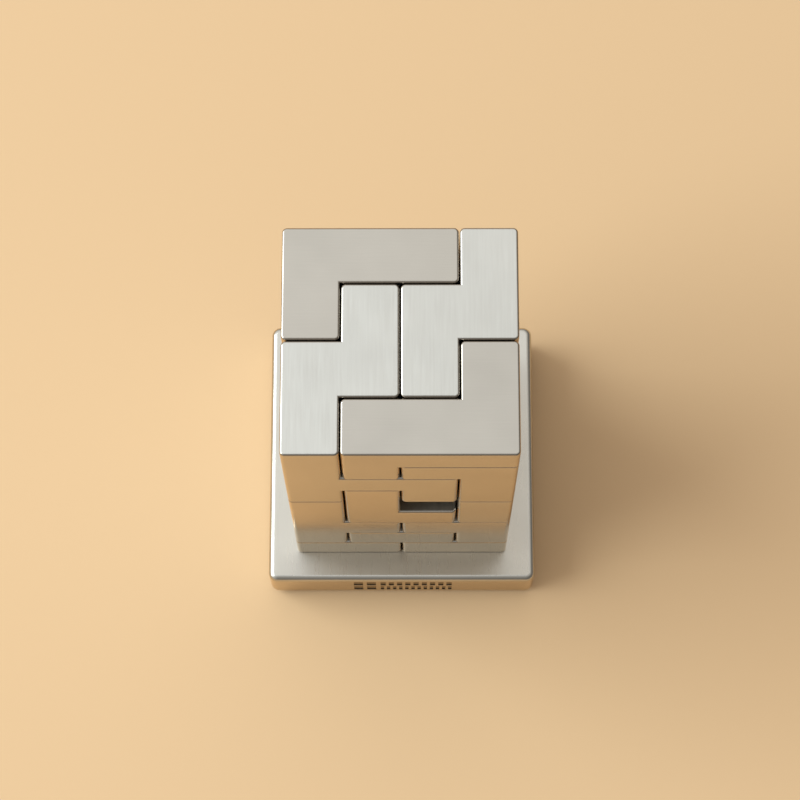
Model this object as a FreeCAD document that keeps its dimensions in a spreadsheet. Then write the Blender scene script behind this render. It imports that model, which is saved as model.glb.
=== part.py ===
"""Take-apart metal tower puzzle: 24 interlocking blocks stacked on a square plate.

Frame: millimetres, +Z up, origin at the centre of the footprint, on the table.
The front of the tower, with the missing cell, faces -Y.
"""
import FreeCAD, Part
import itertools
import os

import Sketcher

PARTS_FOLDER = "parts"

# Driving dimensions in millimetres: (alias, value, meaning).
DIMENSIONS = [
    ("cell_width", 12.0, "width and depth of one cell of the block grid"),
    ("level_height", 9.6, "height of one level of the block grid"),
    ("columns", 4, "cells along each side of the tower"),
    ("side_clearance", 0.1, "gap from a block to its own cell walls, all round"),
    ("block_corner_radius", 1.0, "rounding of a block's outward upright edges"),
    ("block_edge_radius", 0.5, "rounding of a block's outward level edges"),
    ("plate_width", 61.0, "side of the square base plate"),
    ("plate_thickness", 12.0, "thickness of the base plate"),
    ("plate_corner_radius", 2.0, "upright corners of the base plate"),
    ("plate_edge_radius", 1.3, "rounding of the base plate's top and bottom edges"),
    ("foot_diameter", 10.0, "rubber foot"),
    ("foot_thickness", 1.5, "whole thickness of a rubber foot"),
    ("foot_recess", 0.5, "depth that a foot is let into the base plate"),
    ("foot_inset", 9.0, "from the base plate's side to a foot's axis"),
    ("foot_edge_radius", 0.4, "rounding of a foot's lower rim"),
    ("mark_depth", 0.15, "depth of the engraved mark on the front edge"),
    ("mark_row_height", 3.4, "height of each of the mark's two rows"),
    ("mark_row_gap", 1.0, "gap between the mark's two rows"),
    ("emblem_cell_width", 2.1, "width of one panel of the four-panel emblem"),
    ("emblem_gap", 0.9, "gap between the emblem's left and right panels"),
    ("emblem_centre", -8.5, "middle of the emblem, along X"),
    ("ticks_left", -4.9, "left end of both rows of ticks, along X"),
    ("upper_tick_count", 9, "ticks in the upper row"),
    ("upper_tick_width", 1.2, "width of one tick in the upper row"),
    ("upper_tick_pitch", 1.9, "from tick to tick in the upper row"),
    ("lower_tick_count", 12, "ticks in the lower row"),
    ("lower_tick_width", 0.8, "width of one tick in the lower row"),
    ("lower_tick_pitch", 1.42, "from tick to tick in the lower row"),
]

# The stack, top level first. Each level is four rows from the back of the tower (+Y) to the
# front (-Y), each row runs from -X to +X, and a letter names the block that fills a cell.
# The dot is the one cell that is left empty.
LEVELS = [
    ("PPPQ", "PAQQ", "AAQB", "ABBB"),
    ("PLLQ", "PLCQ", "MMCB", "ABCC"),
    ("PNLQ", "NLLR", "NMRC", "AAAC"),
    ("NNRR", "NMLR", "SMRR", "ADAC"),
    ("SOOT", "SSOT", "SDFF", "ED.F"),
    ("SOTT", "EVVV", "EVFV", "EDDF"),
    ("OOTX", "WWVG", "WIIG", "EEGG"),
    ("YYTX", "YYXX", "WIKK", "EIIG"),
    ("YZZZ", "JZXK", "JJJK", "JJKK"),
]

# Block names, numbered in the order in which the tower comes apart.
BLOCK_NAMES = {
    "B": "block_01_top_front",
    "P": "block_02_top_back_left",
    "Q": "block_03_top_right",
    "C": "block_04_front_right_upper",
    "A": "block_05_front_left_arch",
    "L": "block_06_upper_back",
    "M": "block_07_upper_left",
    "R": "block_08_upper_right",
    "N": "block_09_upper_back_left",
    "D": "block_10_front_key",
    "F": "block_11_right_arch",
    "S": "block_12_left_middle",
    "O": "block_13_back_middle",
    "T": "block_14_back_right",
    "E": "block_15_front_left_lower",
    "V": "block_16_middle_cradle",
    "G": "block_17_front_right_lower",
    "W": "block_18_left_lower",
    "I": "block_19_front_lower",
    "X": "block_20_right_lower",
    "K": "block_21_bottom_right",
    "Y": "block_22_back_left_lower",
    "J": "block_23_bottom_left",
    "Z": "block_24_bottom_back",
}

FEET = {
    "foot_front_left": (-1, -1),
    "foot_front_right": (1, -1),
    "foot_back_left": (-1, 1),
    "foot_back_right": (1, 1),
}

UNDERSIDE_HEIGHT = "(Dims.foot_thickness - Dims.foot_recess)"
STACK_HEIGHT = "(Dims.foot_thickness - Dims.foot_recess + Dims.plate_thickness)"


def make_sheet(doc):
    """Spreadsheet of the driving dimensions, one alias per row."""
    sheet = doc.addObject("Spreadsheet::Sheet", "Dims")
    for row, (alias, value, meaning) in enumerate(DIMENSIONS, start=1):
        sheet.set("A%d" % row, alias)
        sheet.set("B%d" % row, str(value))
        sheet.set("C%d" % row, meaning)
        sheet.setAlias("B%d" % row, alias)
    doc.recompute()
    return sheet


def bind(target, expressions):
    """Bind each property path of an object to an expression on the sheet."""
    for path, expression in expressions.items():
        target.setExpression(path, expression)


def origin_plane(body, role):
    """One of a body's own origin planes."""
    for feature in body.Origin.OriginFeatures:
        if feature.Role == role:
            return feature
    raise ValueError("no origin plane " + role)


# ---------------------------------------------------------------- sketches

def sketch_on(body, name, role, offset_expression=None):
    """Empty sketch on one of the body's origin planes, moved out along the plane's normal."""
    sketch = body.newObject("Sketcher::SketchObject", name)
    sketch.AttachmentSupport = [(origin_plane(body, role), "")]
    sketch.MapMode = "FlatFace"
    if offset_expression:
        sketch.setExpression("AttachmentOffset.Base.z", offset_expression)
    return sketch


def add_rectangle(sketch, label, width, height, centre_x="0", centre_y="0"):
    """Rectangle with sides and centre bound to expressions.

    The starting corners only set which side is which; the four bound constraints place it.
    """
    first = sketch.GeometryCount
    corners = [FreeCAD.Vector(x, y, 0) for x, y in ((100, 100), (101, 100), (101, 101), (100, 101))]
    for number in range(4):
        sketch.addGeometry(Part.LineSegment(corners[number], corners[(number + 1) % 4]), False)
    for number in range(4):
        joined = first + (number + 1) % 4
        sketch.addConstraint(Sketcher.Constraint("Coincident", first + number, 2, joined, 1))
    for number, kind in enumerate(("Horizontal", "Vertical", "Horizontal", "Vertical")):
        sketch.addConstraint(Sketcher.Constraint(kind, first + number))
    places = {
        "left": ("DistanceX", "(%s) - (%s) / 2" % (centre_x, width)),
        "bottom": ("DistanceY", "(%s) - (%s) / 2" % (centre_y, height)),
    }
    for side, (kind, expression) in places.items():
        index = sketch.addConstraint(Sketcher.Constraint(kind, -1, 1, first, 1, 100.0))
        sketch.renameConstraint(index, label + "_" + side)
        sketch.setExpression("Constraints." + label + "_" + side, expression)
    sizes = {
        "width": ("DistanceX", first, width),
        "height": ("DistanceY", first + 1, height),
    }
    for side, (kind, line, expression) in sizes.items():
        index = sketch.addConstraint(Sketcher.Constraint(kind, line, 1, line, 2, 1.0))
        sketch.renameConstraint(index, label + "_" + side)
        sketch.setExpression("Constraints." + label + "_" + side, expression)


def add_circle(sketch, label, centre_x, centre_y, diameter):
    """Circle with its centre and diameter bound to expressions."""
    axis = FreeCAD.Vector(0, 0, 1)
    line = sketch.addGeometry(Part.Circle(FreeCAD.Vector(100, 100, 0), axis, 1.0), False)
    constraints = {
        "x": (Sketcher.Constraint("DistanceX", -1, 1, line, 3, 100.0), centre_x),
        "y": (Sketcher.Constraint("DistanceY", -1, 1, line, 3, 100.0), centre_y),
        "diameter": (Sketcher.Constraint("Diameter", line, 2.0), diameter),
    }
    for key, (constraint, expression) in constraints.items():
        index = sketch.addConstraint(constraint)
        sketch.renameConstraint(index, label + "_" + key)
        sketch.setExpression("Constraints." + label + "_" + key, expression)


# -------------------------------------------------------------- base plate

def upright_edges(shape):
    """Names of the edges that run straight up."""
    names = []
    for number, edge in enumerate(shape.Edges, start=1):
        direction = edge.tangentAt(edge.FirstParameter)
        if abs(direction.z) > 0.99:
            names.append("Edge%d" % number)
    return names


def rim_edges(shape):
    """Names of the edges that lie in the top or bottom face."""
    box = shape.BoundBox
    names = []
    for number, edge in enumerate(shape.Edges, start=1):
        span = edge.BoundBox
        level = span.ZLength < 0.001
        if level and min(abs(span.ZMin - box.ZMin), abs(span.ZMax - box.ZMax)) < 0.001:
            names.append("Edge%d" % number)
    return names


def round_edges(doc, body, name, base, edge_finder, radius_alias):
    """PartDesign fillet on the edges of a feature that a finder picks."""
    doc.recompute()
    fillet = body.newObject("PartDesign::Fillet", name)
    fillet.Base = (base, edge_finder(base.Shape))
    fillet.setExpression("Radius", "Dims." + radius_alias)
    return fillet


def row_middle(row):
    """Height of the middle of the mark's upper (1) or lower (-1) row, above the underside."""
    return "Dims.plate_thickness / 2 + %d * (Dims.mark_row_height + Dims.mark_row_gap) / 2" % row


def engrave(body, name, sketch):
    """Shallow pocket in the front edge, cut with one sketch."""
    pocket = body.newObject("PartDesign::Pocket", name)
    pocket.Profile = sketch
    pocket.setExpression("Length", "Dims.mark_depth")
    return pocket


def engrave_emblem(body):
    """Plain emblem: four upright panels, two by two."""
    sketch = sketch_on(body, "EmblemSketch", "XZ_Plane", "Dims.plate_width / 2")
    for column, row in itertools.product((-1, 1), (-1, 1)):
        add_rectangle(
            sketch,
            "panel_%s_%s" % ("lr"[column > 0], "bt"[row > 0]),
            "Dims.emblem_cell_width",
            "Dims.mark_row_height",
            "Dims.emblem_centre + %d * (Dims.emblem_cell_width + Dims.emblem_gap) / 2" % column,
            row_middle(row),
        )
    engrave(body, "Emblem", sketch)


def engrave_ticks(doc, body, side, row):
    """One row of plain upright ticks: the first one engraved, then repeated along X."""
    width = "Dims.%s_tick_width" % side
    sketch = sketch_on(body, side.title() + "TickSketch", "XZ_Plane", "Dims.plate_width / 2")
    first_middle = "Dims.ticks_left + %s / 2" % width
    add_rectangle(sketch, "tick", width, "Dims.mark_row_height", first_middle, row_middle(row))
    pocket = engrave(body, side.title() + "Tick", sketch)
    doc.recompute()
    pattern = body.newObject("PartDesign::LinearPattern", side.title() + "Ticks")
    pattern.Originals = [pocket]
    pattern.Direction = (sketch, ["H_Axis"])
    bind(pattern, {
        "Occurrences": "Dims.%s_tick_count" % side,
        "Length": "(Dims.%s_tick_count - 1) * Dims.%s_tick_pitch" % (side, side),
    })
    body.Tip = pattern


def make_base_plate(doc):
    """Thick square plate with rounded edges, foot recesses and a mark in its front edge."""
    body = doc.addObject("PartDesign::Body", "BasePlate")
    body.Label = "base_plate"
    outline = sketch_on(body, "PlateSketch", "XY_Plane")
    add_rectangle(outline, "plate", "Dims.plate_width", "Dims.plate_width")
    pad = body.newObject("PartDesign::Pad", "PlatePad")
    pad.Profile = outline
    pad.setExpression("Length", "Dims.plate_thickness")
    corners = round_edges(doc, body, "PlateCorners", pad, upright_edges, "plate_corner_radius")
    round_edges(doc, body, "PlateRims", corners, rim_edges, "plate_edge_radius")
    recesses = sketch_on(body, "RecessSketch", "XY_Plane")
    reach = "(Dims.plate_width / 2 - Dims.foot_inset)"
    for name, (side_x, side_y) in FEET.items():
        centre_x = "%d * %s" % (side_x, reach)
        centre_y = "%d * %s" % (side_y, reach)
        add_circle(recesses, name, centre_x, centre_y, "Dims.foot_diameter")
    recess = body.newObject("PartDesign::Pocket", "FootRecesses")
    recess.Profile = recesses
    recess.Reversed = True
    recess.setExpression("Length", "Dims.foot_recess")
    engrave_emblem(body)
    engrave_ticks(doc, body, "upper", 1)
    engrave_ticks(doc, body, "lower", -1)
    bind(body, {"Placement.Base.z": UNDERSIDE_HEIGHT})
    doc.recompute()
    return body


# -------------------------------------------------------------------- feet

def make_foot(doc, name, side_x, side_y):
    """Rubber disc, let into the underside of the base plate, with a rounded lower rim."""
    disc = doc.addObject("Part::Cylinder", name + "_disc")
    bind(disc, {"Radius": "Dims.foot_diameter / 2", "Height": "Dims.foot_thickness"})
    doc.recompute()
    lower_rim = [
        number
        for number, edge in enumerate(disc.Shape.Edges, start=1)
        if edge.BoundBox.ZMax < 0.001
    ]
    foot = doc.addObject("Part::Fillet", name)
    foot.Label = name
    foot.Base = disc
    radius = doc.Dims.foot_edge_radius
    foot.Edges = [(number, radius, radius) for number in lower_rim]
    reach = "(Dims.plate_width / 2 - Dims.foot_inset)"
    bind(foot, {
        "Placement.Base.x": "%d * %s" % (side_x, reach),
        "Placement.Base.y": "%d * %s" % (side_y, reach),
    })
    return foot


# ------------------------------------------------------------------ blocks

def read_levels():
    """Cells of each block as (column, row, level), counted from the tower's low front left."""
    cells = {letter: set() for letter in BLOCK_NAMES}
    for level, rows in enumerate(reversed(LEVELS)):
        for row, letters in enumerate(reversed(rows)):
            for column, letter in enumerate(letters):
                if letter in cells:
                    cells[letter].add((column, row, level))
    return cells


def cells_in(low, high):
    """Every cell of the span between two corner cells, both included."""
    ranges = [range(first, last + 1) for first, last in zip(low, high)]
    return set(itertools.product(*ranges))


def grow(cells, start, directions):
    """Largest span of a block's cells from a corner cell, grown one direction at a time."""
    high = list(start)
    for direction in directions:
        while True:
            high[direction] += 1
            if not cells_in(start, high) <= cells:
                high[direction] -= 1
                break
    return start, tuple(high)


def block_spans(cells):
    """Box-shaped spans that overlap so that together they fill a block with no seam inside."""
    spans = {
        grow(cells, start, directions)
        for start in cells
        for directions in itertools.permutations(range(3))
    }
    return sorted(
        span for span in spans
        if not any(span != other and cells_in(*span) <= cells_in(*other) for other in spans)
    )


def edges_at(shape, corner):
    """How many edges of a shape meet in one of its corners."""
    return sum(any(corner.isSame(end) for end in edge.Vertexes) for edge in shape.Edges)


def outward_edges(shape, radius):
    """Numbers of the edges to round: those at which two faces of a block meet outwards.

    A few inner edges stay sharp. Where two cells of a block touch corner to corner, the step
    left between them is narrower than the rounding. Where two outward and two inward edges meet
    in one saddle-shaped corner, no rounding runs out cleanly.
    """
    steps = [edge for edge in shape.Edges if edge.Length < 2 * radius]
    saddles = [corner for corner in shape.Vertexes if edges_at(shape, corner) > 3]
    numbers = []
    for number, edge in enumerate(shape.Edges, start=1):
        if any(edge.distToShape(place)[0] < 0.001 for place in steps + saddles):
            continue
        middle = edge.valueAt((edge.FirstParameter + edge.LastParameter) / 2)
        faces = [face for face in shape.Faces if any(edge.isSame(side) for side in face.Edges)]
        normals = [face.normalAt(*face.Surface.parameter(middle)) for face in faces]
        probe = middle + (normals[0] - normals[1]) * 0.05
        if not shape.isInside(probe, 1e-6, False):
            numbers.append(number)
    return numbers


def rounded_edges(dims, shape):
    """Part::Fillet's edge list for a block: upright edges are rounder than level ones."""
    edges = []
    for number in outward_edges(shape, dims.block_corner_radius):
        direction = shape.Edges[number - 1].tangentAt(0)
        upright = abs(direction.z) > 0.99
        radius = dims.block_corner_radius if upright else dims.block_edge_radius
        edges.append((number, radius, radius))
    return edges


def make_span(doc, name, low, high):
    """One box of a block, in the block's own grid, clear of its neighbours on all four sides."""
    box = doc.addObject("Part::Box", name)
    counts = [last - first + 1 for first, last in zip(low, high)]
    bind(box, {
        "Length": "%d * Dims.cell_width - 2 * Dims.side_clearance" % counts[0],
        "Width": "%d * Dims.cell_width - 2 * Dims.side_clearance" % counts[1],
        "Height": "%d * Dims.level_height" % counts[2],
        "Placement.Base.x": "%d * Dims.cell_width + Dims.side_clearance" % low[0],
        "Placement.Base.y": "%d * Dims.cell_width + Dims.side_clearance" % low[1],
        "Placement.Base.z": "%d * Dims.level_height" % low[2],
    })
    return box


def make_block(doc, label, cells):
    """One puzzle block: its spans fused, its outward edges rounded, and put in its place."""
    corner = [min(cell[axis] for cell in cells) for axis in range(3)]
    own_cells = {tuple(cell[axis] - corner[axis] for axis in range(3)) for cell in cells}
    boxes = [
        make_span(doc, "%s_span_%d" % (label, number), low, high)
        for number, (low, high) in enumerate(block_spans(own_cells), start=1)
    ]
    fused = doc.addObject("Part::MultiFuse", label + "_fused")
    fused.Shapes = boxes
    fused.Refine = True
    doc.recompute()
    block = doc.addObject("Part::Fillet", label)
    block.Label = label
    block.Base = fused
    block.Edges = rounded_edges(doc.Dims, fused.Shape)
    bind(block, {
        "Placement.Base.x": "(%d - Dims.columns / 2) * Dims.cell_width" % corner[0],
        "Placement.Base.y": "(%d - Dims.columns / 2) * Dims.cell_width" % corner[1],
        "Placement.Base.z": "%s + %d * Dims.level_height" % (STACK_HEIGHT, corner[2]),
    })
    return block


# ------------------------------------------------------------------ output

def check_document(doc, pieces):
    """Stop if any object failed to recompute or any piece isn't one valid solid."""
    failed = [item.Label for item in doc.Objects if {"Invalid", "Error"} & set(item.State)]
    for piece in pieces:
        shape = piece.Shape
        if shape.isNull() or not shape.isValid() or len(shape.Solids) != 1:
            failed.append(piece.Label + " (shape)")
    if failed:
        raise RuntimeError("failed: " + ", ".join(failed))


def main():
    """Build the document, check it and write one STEP file for each piece."""
    os.makedirs(PARTS_FOLDER, exist_ok=True)
    doc = FreeCAD.newDocument("MetalTowerPuzzle")
    make_sheet(doc)
    pieces = [make_base_plate(doc)]
    for name, (side_x, side_y) in FEET.items():
        pieces.append(make_foot(doc, name, side_x, side_y))
    for letter, cells in read_levels().items():
        pieces.append(make_block(doc, BLOCK_NAMES[letter], cells))
    doc.recompute()
    check_document(doc, pieces)
    for piece in pieces:
        piece.Shape.exportStep(os.path.join(PARTS_FOLDER, piece.Label + ".step"))
        print("%-28s %9.1f mm3" % (piece.Label, piece.Shape.Volume))


main()
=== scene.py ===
"""Take-apart metal tower puzzle: materials, etched mark, floor, lights and camera."""
import math
import random

import bpy
from mathutils import Matrix, Vector


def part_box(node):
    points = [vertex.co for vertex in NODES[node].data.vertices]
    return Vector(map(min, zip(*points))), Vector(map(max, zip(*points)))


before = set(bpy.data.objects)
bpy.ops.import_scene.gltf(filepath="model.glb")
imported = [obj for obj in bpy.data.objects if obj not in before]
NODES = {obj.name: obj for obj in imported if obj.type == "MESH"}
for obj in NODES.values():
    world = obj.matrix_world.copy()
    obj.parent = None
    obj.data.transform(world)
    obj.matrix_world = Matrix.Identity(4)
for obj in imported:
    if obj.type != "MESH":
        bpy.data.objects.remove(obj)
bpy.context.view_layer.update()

BLOCKS = sorted(name for name in NODES if name.startswith("block_"))
FEET = sorted(name for name in NODES if name.startswith("foot_"))

# Blocks whose level faces are brushed from side to side. The others are brushed front to back.
BRUSHED_ACROSS = ("01", "02", "06", "09", "11", "14", "17", "19", "23")

PLATE_LOW, PLATE_HIGH = (Vector(corner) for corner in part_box("base_plate"))
CELL = 0.012
EDGE_ROUNDING = 0.0013
MARK_DEPTH = 0.00015

# Steel. Each block's tone and its warmth both differ from the mean by up to STEEL_SPREAD.
STEEL = (0.565, 0.545, 0.50)
STEEL_SPREAD = 0.03
FINISH_SEED = 717
# Painted shade: dark brown mixed into the rounded level edges, standing in for the shade between
# pieces and along those edges.
EDGE_SHADE_COLOUR = (0.20, 0.13, 0.08, 1.0)
GRAZING_TINT = (1.0, 0.85, 0.68, 1.0)
UPRIGHT_ROUGHNESS = 0.2
EDGE_ROUGHNESS = 0.16
ANISOTROPY = 0.6
# In both finishes, edge_shade is the strength of the painted shade on the rounded level edges.
BLOCK_FINISH = {"level_roughness": 0.34, "grain": 0.12, "edge_shade": 0.45}
PLATE_FINISH = {"level_roughness": 0.28, "grain": 0.03, "edge_shade": 0.1}
MARK_TONE = 0.04

# Sizes of a normal's parts between which a mask goes from off to on.
LEVEL_FACE = (0.6, 0.8)
FLAT_FACE = (0.9, 0.995)
LEVEL_EDGE = (0.1, 0.3)

# Noise features per metre. Brushing marks are long one way and fine the other way.
LENGTHWISE = 90.0
CROSSWISE = 2600.0
CLOUDS = 70.0
RUBBER_GRAINS = 1800.0
NOISE_RANGE = (0.3, 0.7)
CLOUD_TONES = (0.96, 1.03)
EVEN = (1.0, 1.0, 1.0)
BRUSH_DEPTH = 0.00001

RUBBER = (0.02, 0.02, 0.02, 1.0)
RUBBER_ROUGHNESS = (0.6, 0.85)
RUBBER_BUMP = 0.3
RUBBER_GRAIN_DEPTH = 0.00005

FLOOR_SIZE = 6.0
FLOOR_COLOUR = (0.69, 0.46, 0.255, 1.0)
FLOOR_ROUGHNESS = 0.9

KEY_PLACE = Vector((-1.56, 0.08, 1.24))
KEY_WIDTH, KEY_HEIGHT = 1.8, 1.2
KEY_WATTS = 43.0
KEY_COLOUR = (0.83, 0.95, 1.0)

# The room's brightness at some values of how far a direction points along SKY_AXIS.
SKY_AXIS = Vector((-0.55, 0.12, 0.82))
SKY_LEVELS = ((0.0, 0.17), (0.25, 0.35), (0.55, 0.69), (0.80, 1.0), (1.0, 1.13))

# The room's strength goes from open to hooded between two such values along HOOD_AXIS.
HOOD_AXIS = Vector((0.0, -0.55, 0.83))
HOOD_RANGE = (0.70, 0.95)
OPEN_STRENGTH, HOODED_STRENGTH = 1.18, 0.60

# Camera angles in degrees, and its place in cells from the middle of the plate's top.
TILT, ROLL, TURN = 16.13, -0.95, 0.93
CAMERA_PLACE = (0.19, -12.75, 47.7)
SENSOR_WIDTH, FOCAL_LENGTH = 36.0, 114.7


# ---------------------------------------------------------------- materials

def new_material(name):
    """Empty node material with a Principled shader."""
    material = bpy.data.materials.new(name)
    material.use_nodes = True
    tree = material.node_tree
    shader = tree.nodes["Principled BSDF"]
    return material, tree, shader


def add_node(tree, kind, **settings):
    """New node with some of its settings and, by name, its input values."""
    node = tree.nodes.new(kind)
    for key, value in settings.items():
        if key in node.inputs:
            node.inputs[key].default_value = value
        else:
            setattr(node, key, value)
    return node


def noise(tree, coords, stretch, scale=1.0, detail=3.0):
    """Noise, drawn out along an axis where the stretch is small."""
    mapping = add_node(tree, "ShaderNodeMapping", Scale=stretch)
    tree.links.new(coords, mapping.inputs["Vector"])
    texture = add_node(tree, "ShaderNodeTexNoise", Scale=scale, Detail=detail, Roughness=0.6)
    tree.links.new(mapping.outputs["Vector"], texture.inputs["Vector"])
    return texture.outputs["Fac"]


def remap(tree, value, source, target):
    """Value stretched from one range to another and held inside it."""
    node = tree.nodes.new("ShaderNodeMapRange")
    for index, number in enumerate((*source, *target), start=1):
        node.inputs[index].default_value = number
    tree.links.new(value, node.inputs["Value"])
    return node.outputs["Result"]


def combine(tree, operation, first, second):
    """Math on two values, either of which may be a plain number."""
    node = add_node(tree, "ShaderNodeMath", operation=operation)
    for socket, value in zip(node.inputs, (first, second)):
        if isinstance(value, (int, float)):
            socket.default_value = value
        else:
            tree.links.new(value, socket)
    return node.outputs["Value"]


def blend(tree, factor, first, second):
    """From the first value to the second as the factor goes from 0 to 1."""
    mix = add_node(tree, "ShaderNodeMix", data_type="FLOAT")
    tree.links.new(factor, mix.inputs["Factor"])
    for socket, value in zip(mix.inputs[2:4], (first, second)):
        if isinstance(value, (int, float)):
            socket.default_value = value
        else:
            tree.links.new(value, socket)
    return mix.outputs["Result"]


def face_masks(tree, coords):
    """Masks of the level faces, of all rounded edges and of the level ones among them."""
    parts = tree.nodes.new("ShaderNodeSeparateXYZ")
    tree.links.new(coords.outputs["Normal"], parts.inputs["Vector"])
    sizes = [combine(tree, "ABSOLUTE", parts.outputs[axis], 0.0) for axis in "XYZ"]
    largest = combine(tree, "MAXIMUM", combine(tree, "MAXIMUM", sizes[0], sizes[1]), sizes[2])
    level = remap(tree, sizes[2], LEVEL_FACE, (0.0, 1.0))
    rounded = remap(tree, largest, FLAT_FACE, (1.0, 0.0))
    off_upright = remap(tree, sizes[2], LEVEL_EDGE, (0.0, 1.0))
    level_edges = combine(tree, "MULTIPLY", rounded, off_upright)
    return level, rounded, level_edges


def mix_colours(tree, blend_type, factor, first, second):
    """Colours mixed by a factor. Each input is a link, a plain number or a plain colour."""
    mix = add_node(tree, "ShaderNodeMix", data_type="RGBA", blend_type=blend_type)
    colour_sockets = [socket for socket in mix.inputs if socket.type == "RGBA"]
    for socket, value in zip([mix.inputs["Factor"], *colour_sockets], (factor, first, second)):
        if isinstance(value, bpy.types.NodeSocket):
            tree.links.new(value, socket)
        else:
            socket.default_value = value
    return next(socket for socket in mix.outputs if socket.type == "RGBA")


def brushed_steel(name, colour, across, level_roughness, grain, edge_shade, finish=None):
    """Steel, brushed along X or Y on its level faces, smoother and level-brushed on upright ones.

    The rounded edges are polished. Edge shade, from 0 to 1, is painted shade that browns the level
    ones, where pieces meet. Grain, from 0 to 1, is how strongly the brushing marks show in tone,
    gloss and relief.
    finish may change the tone before it colours the metal.
    """
    material, tree, shader = new_material(name)
    coords = tree.nodes.new("ShaderNodeTexCoord")
    place = coords.outputs["Object"]
    level, rounded, level_edges = face_masks(tree, coords)
    if across:
        level_streaks = noise(tree, place, (LENGTHWISE, CROSSWISE, LENGTHWISE))
    else:
        level_streaks = noise(tree, place, (CROSSWISE, LENGTHWISE, LENGTHWISE))
    upright_streaks = noise(tree, place, (LENGTHWISE, LENGTHWISE, CROSSWISE))
    streaks = blend(tree, level, upright_streaks, level_streaks)
    clouds = noise(tree, place, EVEN, CLOUDS, detail=2.0)
    tone = combine(
        tree, "ADD",
        remap(tree, streaks, NOISE_RANGE, (-grain / 4, grain / 4)),
        remap(tree, clouds, NOISE_RANGE, CLOUD_TONES),
    )
    if finish:
        tone = finish(tree, place, tone)
    toned = mix_colours(tree, "MULTIPLY", 1.0, (*colour, 1.0), tone)
    # Painted shade: the rounded level edges, where pieces meet, are browned towards a dark colour.
    edge_shade_amount = combine(tree, "MULTIPLY", level_edges, edge_shade)
    edge_shaded = mix_colours(tree, "MIX", edge_shade_amount, toned, EDGE_SHADE_COLOUR)
    tree.links.new(edge_shaded, shader.inputs["Base Color"])
    flat_roughness = blend(tree, level, UPRIGHT_ROUGHNESS, level_roughness)
    ripple = remap(tree, streaks, NOISE_RANGE, (-grain / 3, grain / 3))
    uneven = combine(tree, "ADD", flat_roughness, ripple)
    tree.links.new(blend(tree, rounded, uneven, EDGE_ROUGHNESS), shader.inputs["Roughness"])
    bump = add_node(tree, "ShaderNodeBump", Strength=grain, Distance=BRUSH_DEPTH)
    tree.links.new(streaks, bump.inputs["Height"])
    tree.links.new(bump.outputs["Normal"], shader.inputs["Normal"])
    along_x, along_y = (0.0, 1.0) if across else (1.0, 0.0)
    spread = add_node(tree, "ShaderNodeCombineXYZ", X=along_x, Y=along_y)
    tree.links.new(spread.outputs["Vector"], shader.inputs["Tangent"])
    shader.inputs["Anisotropic"].default_value = ANISOTROPY
    shader.inputs["Metallic"].default_value = 1.0
    shader.inputs["Specular Tint"].default_value = GRAZING_TINT
    return material


def darken_mark(tree, place, tone):
    """Dark floor in the engraved mark: the front edge's surface just behind its plain face."""
    parts = tree.nodes.new("ShaderNodeSeparateXYZ")
    tree.links.new(place, parts.inputs["Vector"])
    behind = combine(tree, "GREATER_THAN", parts.outputs["Y"], PLATE_LOW.y + MARK_DEPTH / 4)
    shallow = combine(tree, "LESS_THAN", parts.outputs["Y"], PLATE_LOW.y + MARK_DEPTH * 2)
    off_middle = combine(tree, "ABSOLUTE", parts.outputs["X"], 0.0)
    between_corners = combine(tree, "LESS_THAN", off_middle, PLATE_HIGH.x / 2)
    above = combine(tree, "GREATER_THAN", parts.outputs["Z"], PLATE_LOW.z + EDGE_ROUNDING)
    below = combine(tree, "LESS_THAN", parts.outputs["Z"], PLATE_HIGH.z - EDGE_ROUNDING)
    inside = combine(tree, "MULTIPLY", behind, shallow)
    for limit in (between_corners, above, below):
        inside = combine(tree, "MULTIPLY", inside, limit)
    return blend(tree, inside, tone, MARK_TONE)


def rubber_material():
    """Dark rubber with a fine grain."""
    material, tree, shader = new_material("foot_rubber")
    place = tree.nodes.new("ShaderNodeTexCoord").outputs["Object"]
    grain = noise(tree, place, EVEN, RUBBER_GRAINS)
    tree.links.new(remap(tree, grain, NOISE_RANGE, RUBBER_ROUGHNESS), shader.inputs["Roughness"])
    bump = add_node(tree, "ShaderNodeBump", Strength=RUBBER_BUMP, Distance=RUBBER_GRAIN_DEPTH)
    tree.links.new(grain, bump.inputs["Height"])
    tree.links.new(bump.outputs["Normal"], shader.inputs["Normal"])
    shader.inputs["Base Color"].default_value = RUBBER
    return material


def floor_material():
    """Plain pale warm floor."""
    material, _, shader = new_material("floor_pale")
    shader.inputs["Base Color"].default_value = FLOOR_COLOUR
    shader.inputs["Roughness"].default_value = FLOOR_ROUGHNESS
    return material


def paint(obj, material):
    """Give an object one material in every slot."""
    if not obj.material_slots:
        obj.data.materials.append(material)
    for slot in obj.material_slots:
        slot.material = material


def dress_model():
    """Materials for every CAD node, with a slightly different steel for each block."""
    red, green, blue = STEEL
    least, most = 1.0 - STEEL_SPREAD, 1.0 + STEEL_SPREAD
    rubber = rubber_material()
    for name in BLOCKS:
        number = name.split("_")[1]
        dice = random.Random(FINISH_SEED + int(number))
        tone = dice.uniform(least, most)
        warmth = dice.uniform(least, most)
        colour = (red * tone * warmth, green * tone, blue * tone / warmth)
        across = number in BRUSHED_ACROSS
        paint(NODES[name], brushed_steel("steel_" + number, colour, across, **BLOCK_FINISH))
    plate = brushed_steel("steel_plate", STEEL, False, **PLATE_FINISH, finish=darken_mark)
    paint(NODES["base_plate"], plate)
    for name in FEET:
        paint(NODES[name], rubber)


# -------------------------------------------------------------------- stage

def add_floor():
    """Large plain floor under the feet."""
    bpy.ops.mesh.primitive_plane_add(size=FLOOR_SIZE, location=(0, 0, 0))
    floor = bpy.context.object
    floor.name = "floor"
    paint(floor, floor_material())


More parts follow.
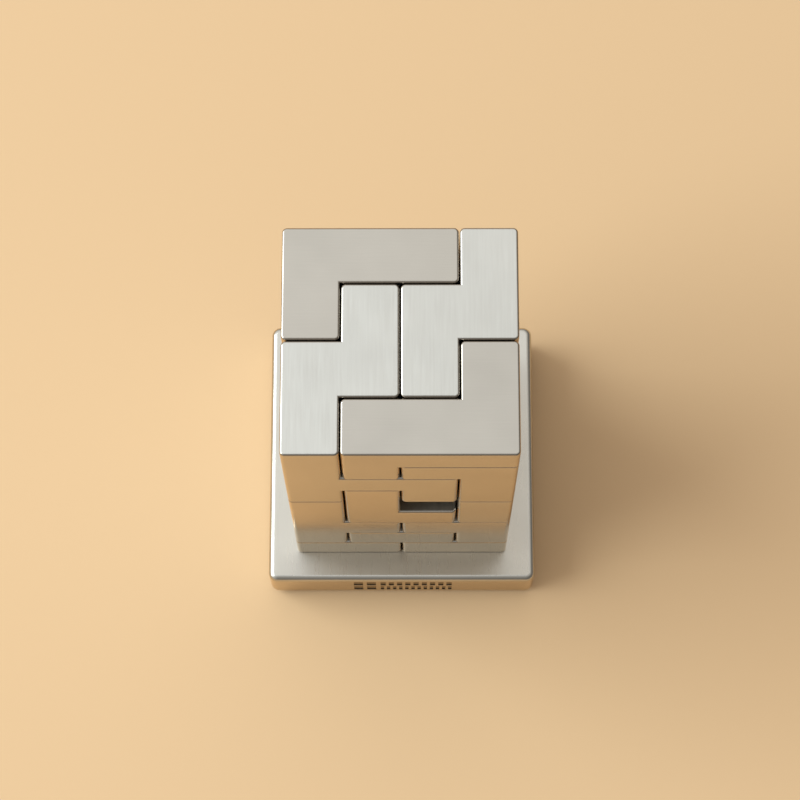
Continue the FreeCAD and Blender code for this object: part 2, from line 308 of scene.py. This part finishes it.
def add_key_light():
    """Soft window-like light on the left."""
    data = bpy.data.lights.new("key", "AREA")
    data.shape = "RECTANGLE"
    data.size = KEY_WIDTH
    data.size_y = KEY_HEIGHT
    data.energy = KEY_WATTS
    data.color = KEY_COLOUR
    light = bpy.data.objects.new("key", data)
    light.location = KEY_PLACE
    light.rotation_euler = (-KEY_PLACE).to_track_quat("-Z", "Y").to_euler()
    bpy.context.scene.collection.objects.link(light)


def towards(tree, direction, axis):
    """How far a direction points along an axis: 1 along it, 0 across it."""
    node = add_node(tree, "ShaderNodeVectorMath", operation="DOT_PRODUCT")
    node.inputs[1].default_value = axis.normalized()
    tree.links.new(direction, node.inputs[0])
    return node.outputs["Value"]


def warm_grey(level):
    """Grey of a brightness, warmer the darker it is."""
    return level, level * (0.94 + 0.045 * level), level * (0.84 + 0.11 * level), 1.0


def add_surround():
    """Bright room above that falls off to the right and the horizon, with a dark hood in front."""
    world = bpy.data.worlds.new("studio")
    world.use_nodes = True
    tree = world.node_tree
    direction = tree.nodes.new("ShaderNodeTexCoord").outputs["Generated"]
    ramp = tree.nodes.new("ShaderNodeValToRGB")
    ramp.color_ramp.interpolation = "B_SPLINE"
    for index, (position, level) in enumerate(SKY_LEVELS):
        if index < 2:
            stop = ramp.color_ramp.elements[index]
            stop.position = position
        else:
            stop = ramp.color_ramp.elements.new(position)
        stop.color = warm_grey(level)
    tree.links.new(towards(tree, direction, SKY_AXIS), ramp.inputs["Fac"])
    background = tree.nodes["Background"]
    hooded = towards(tree, direction, HOOD_AXIS)
    strength = remap(tree, hooded, HOOD_RANGE, (OPEN_STRENGTH, HOODED_STRENGTH))
    tree.links.new(strength, background.inputs["Strength"])
    tree.links.new(ramp.outputs["Color"], background.inputs["Color"])
    bpy.context.scene.world = world


def add_camera():
    """Camera above and in front of the tower, tilted a little forward from straight down."""
    tilt = math.radians(TILT)
    roll = math.radians(ROLL)
    turn = Matrix.Rotation(math.radians(TURN), 3, "Z")
    view = turn @ Vector((0, math.sin(tilt), -math.cos(tilt)))
    up = turn @ Vector((0, math.cos(tilt), math.sin(tilt)))
    right = turn @ Vector((1, 0, 0))
    right, up = (
        math.cos(roll) * right + math.sin(roll) * up,
        math.cos(roll) * up - math.sin(roll) * right,
    )
    data = bpy.data.cameras.new("camera")
    data.sensor_width = SENSOR_WIDTH
    data.lens = FOCAL_LENGTH
    x, y, z = (cells * CELL for cells in CAMERA_PLACE)
    camera = bpy.data.objects.new("camera", data)
    camera.matrix_world = Matrix((
        (right.x, up.x, -view.x, x),
        (right.y, up.y, -view.y, y),
        (right.z, up.z, -view.z, z + PLATE_HIGH.z),
        (0, 0, 0, 1),
    ))
    bpy.context.scene.collection.objects.link(camera)
    bpy.context.scene.camera = camera


dress_model()
add_floor()
add_key_light()
add_surround()
add_camera()
bpy.context.scene.view_settings.view_transform = "Standard"
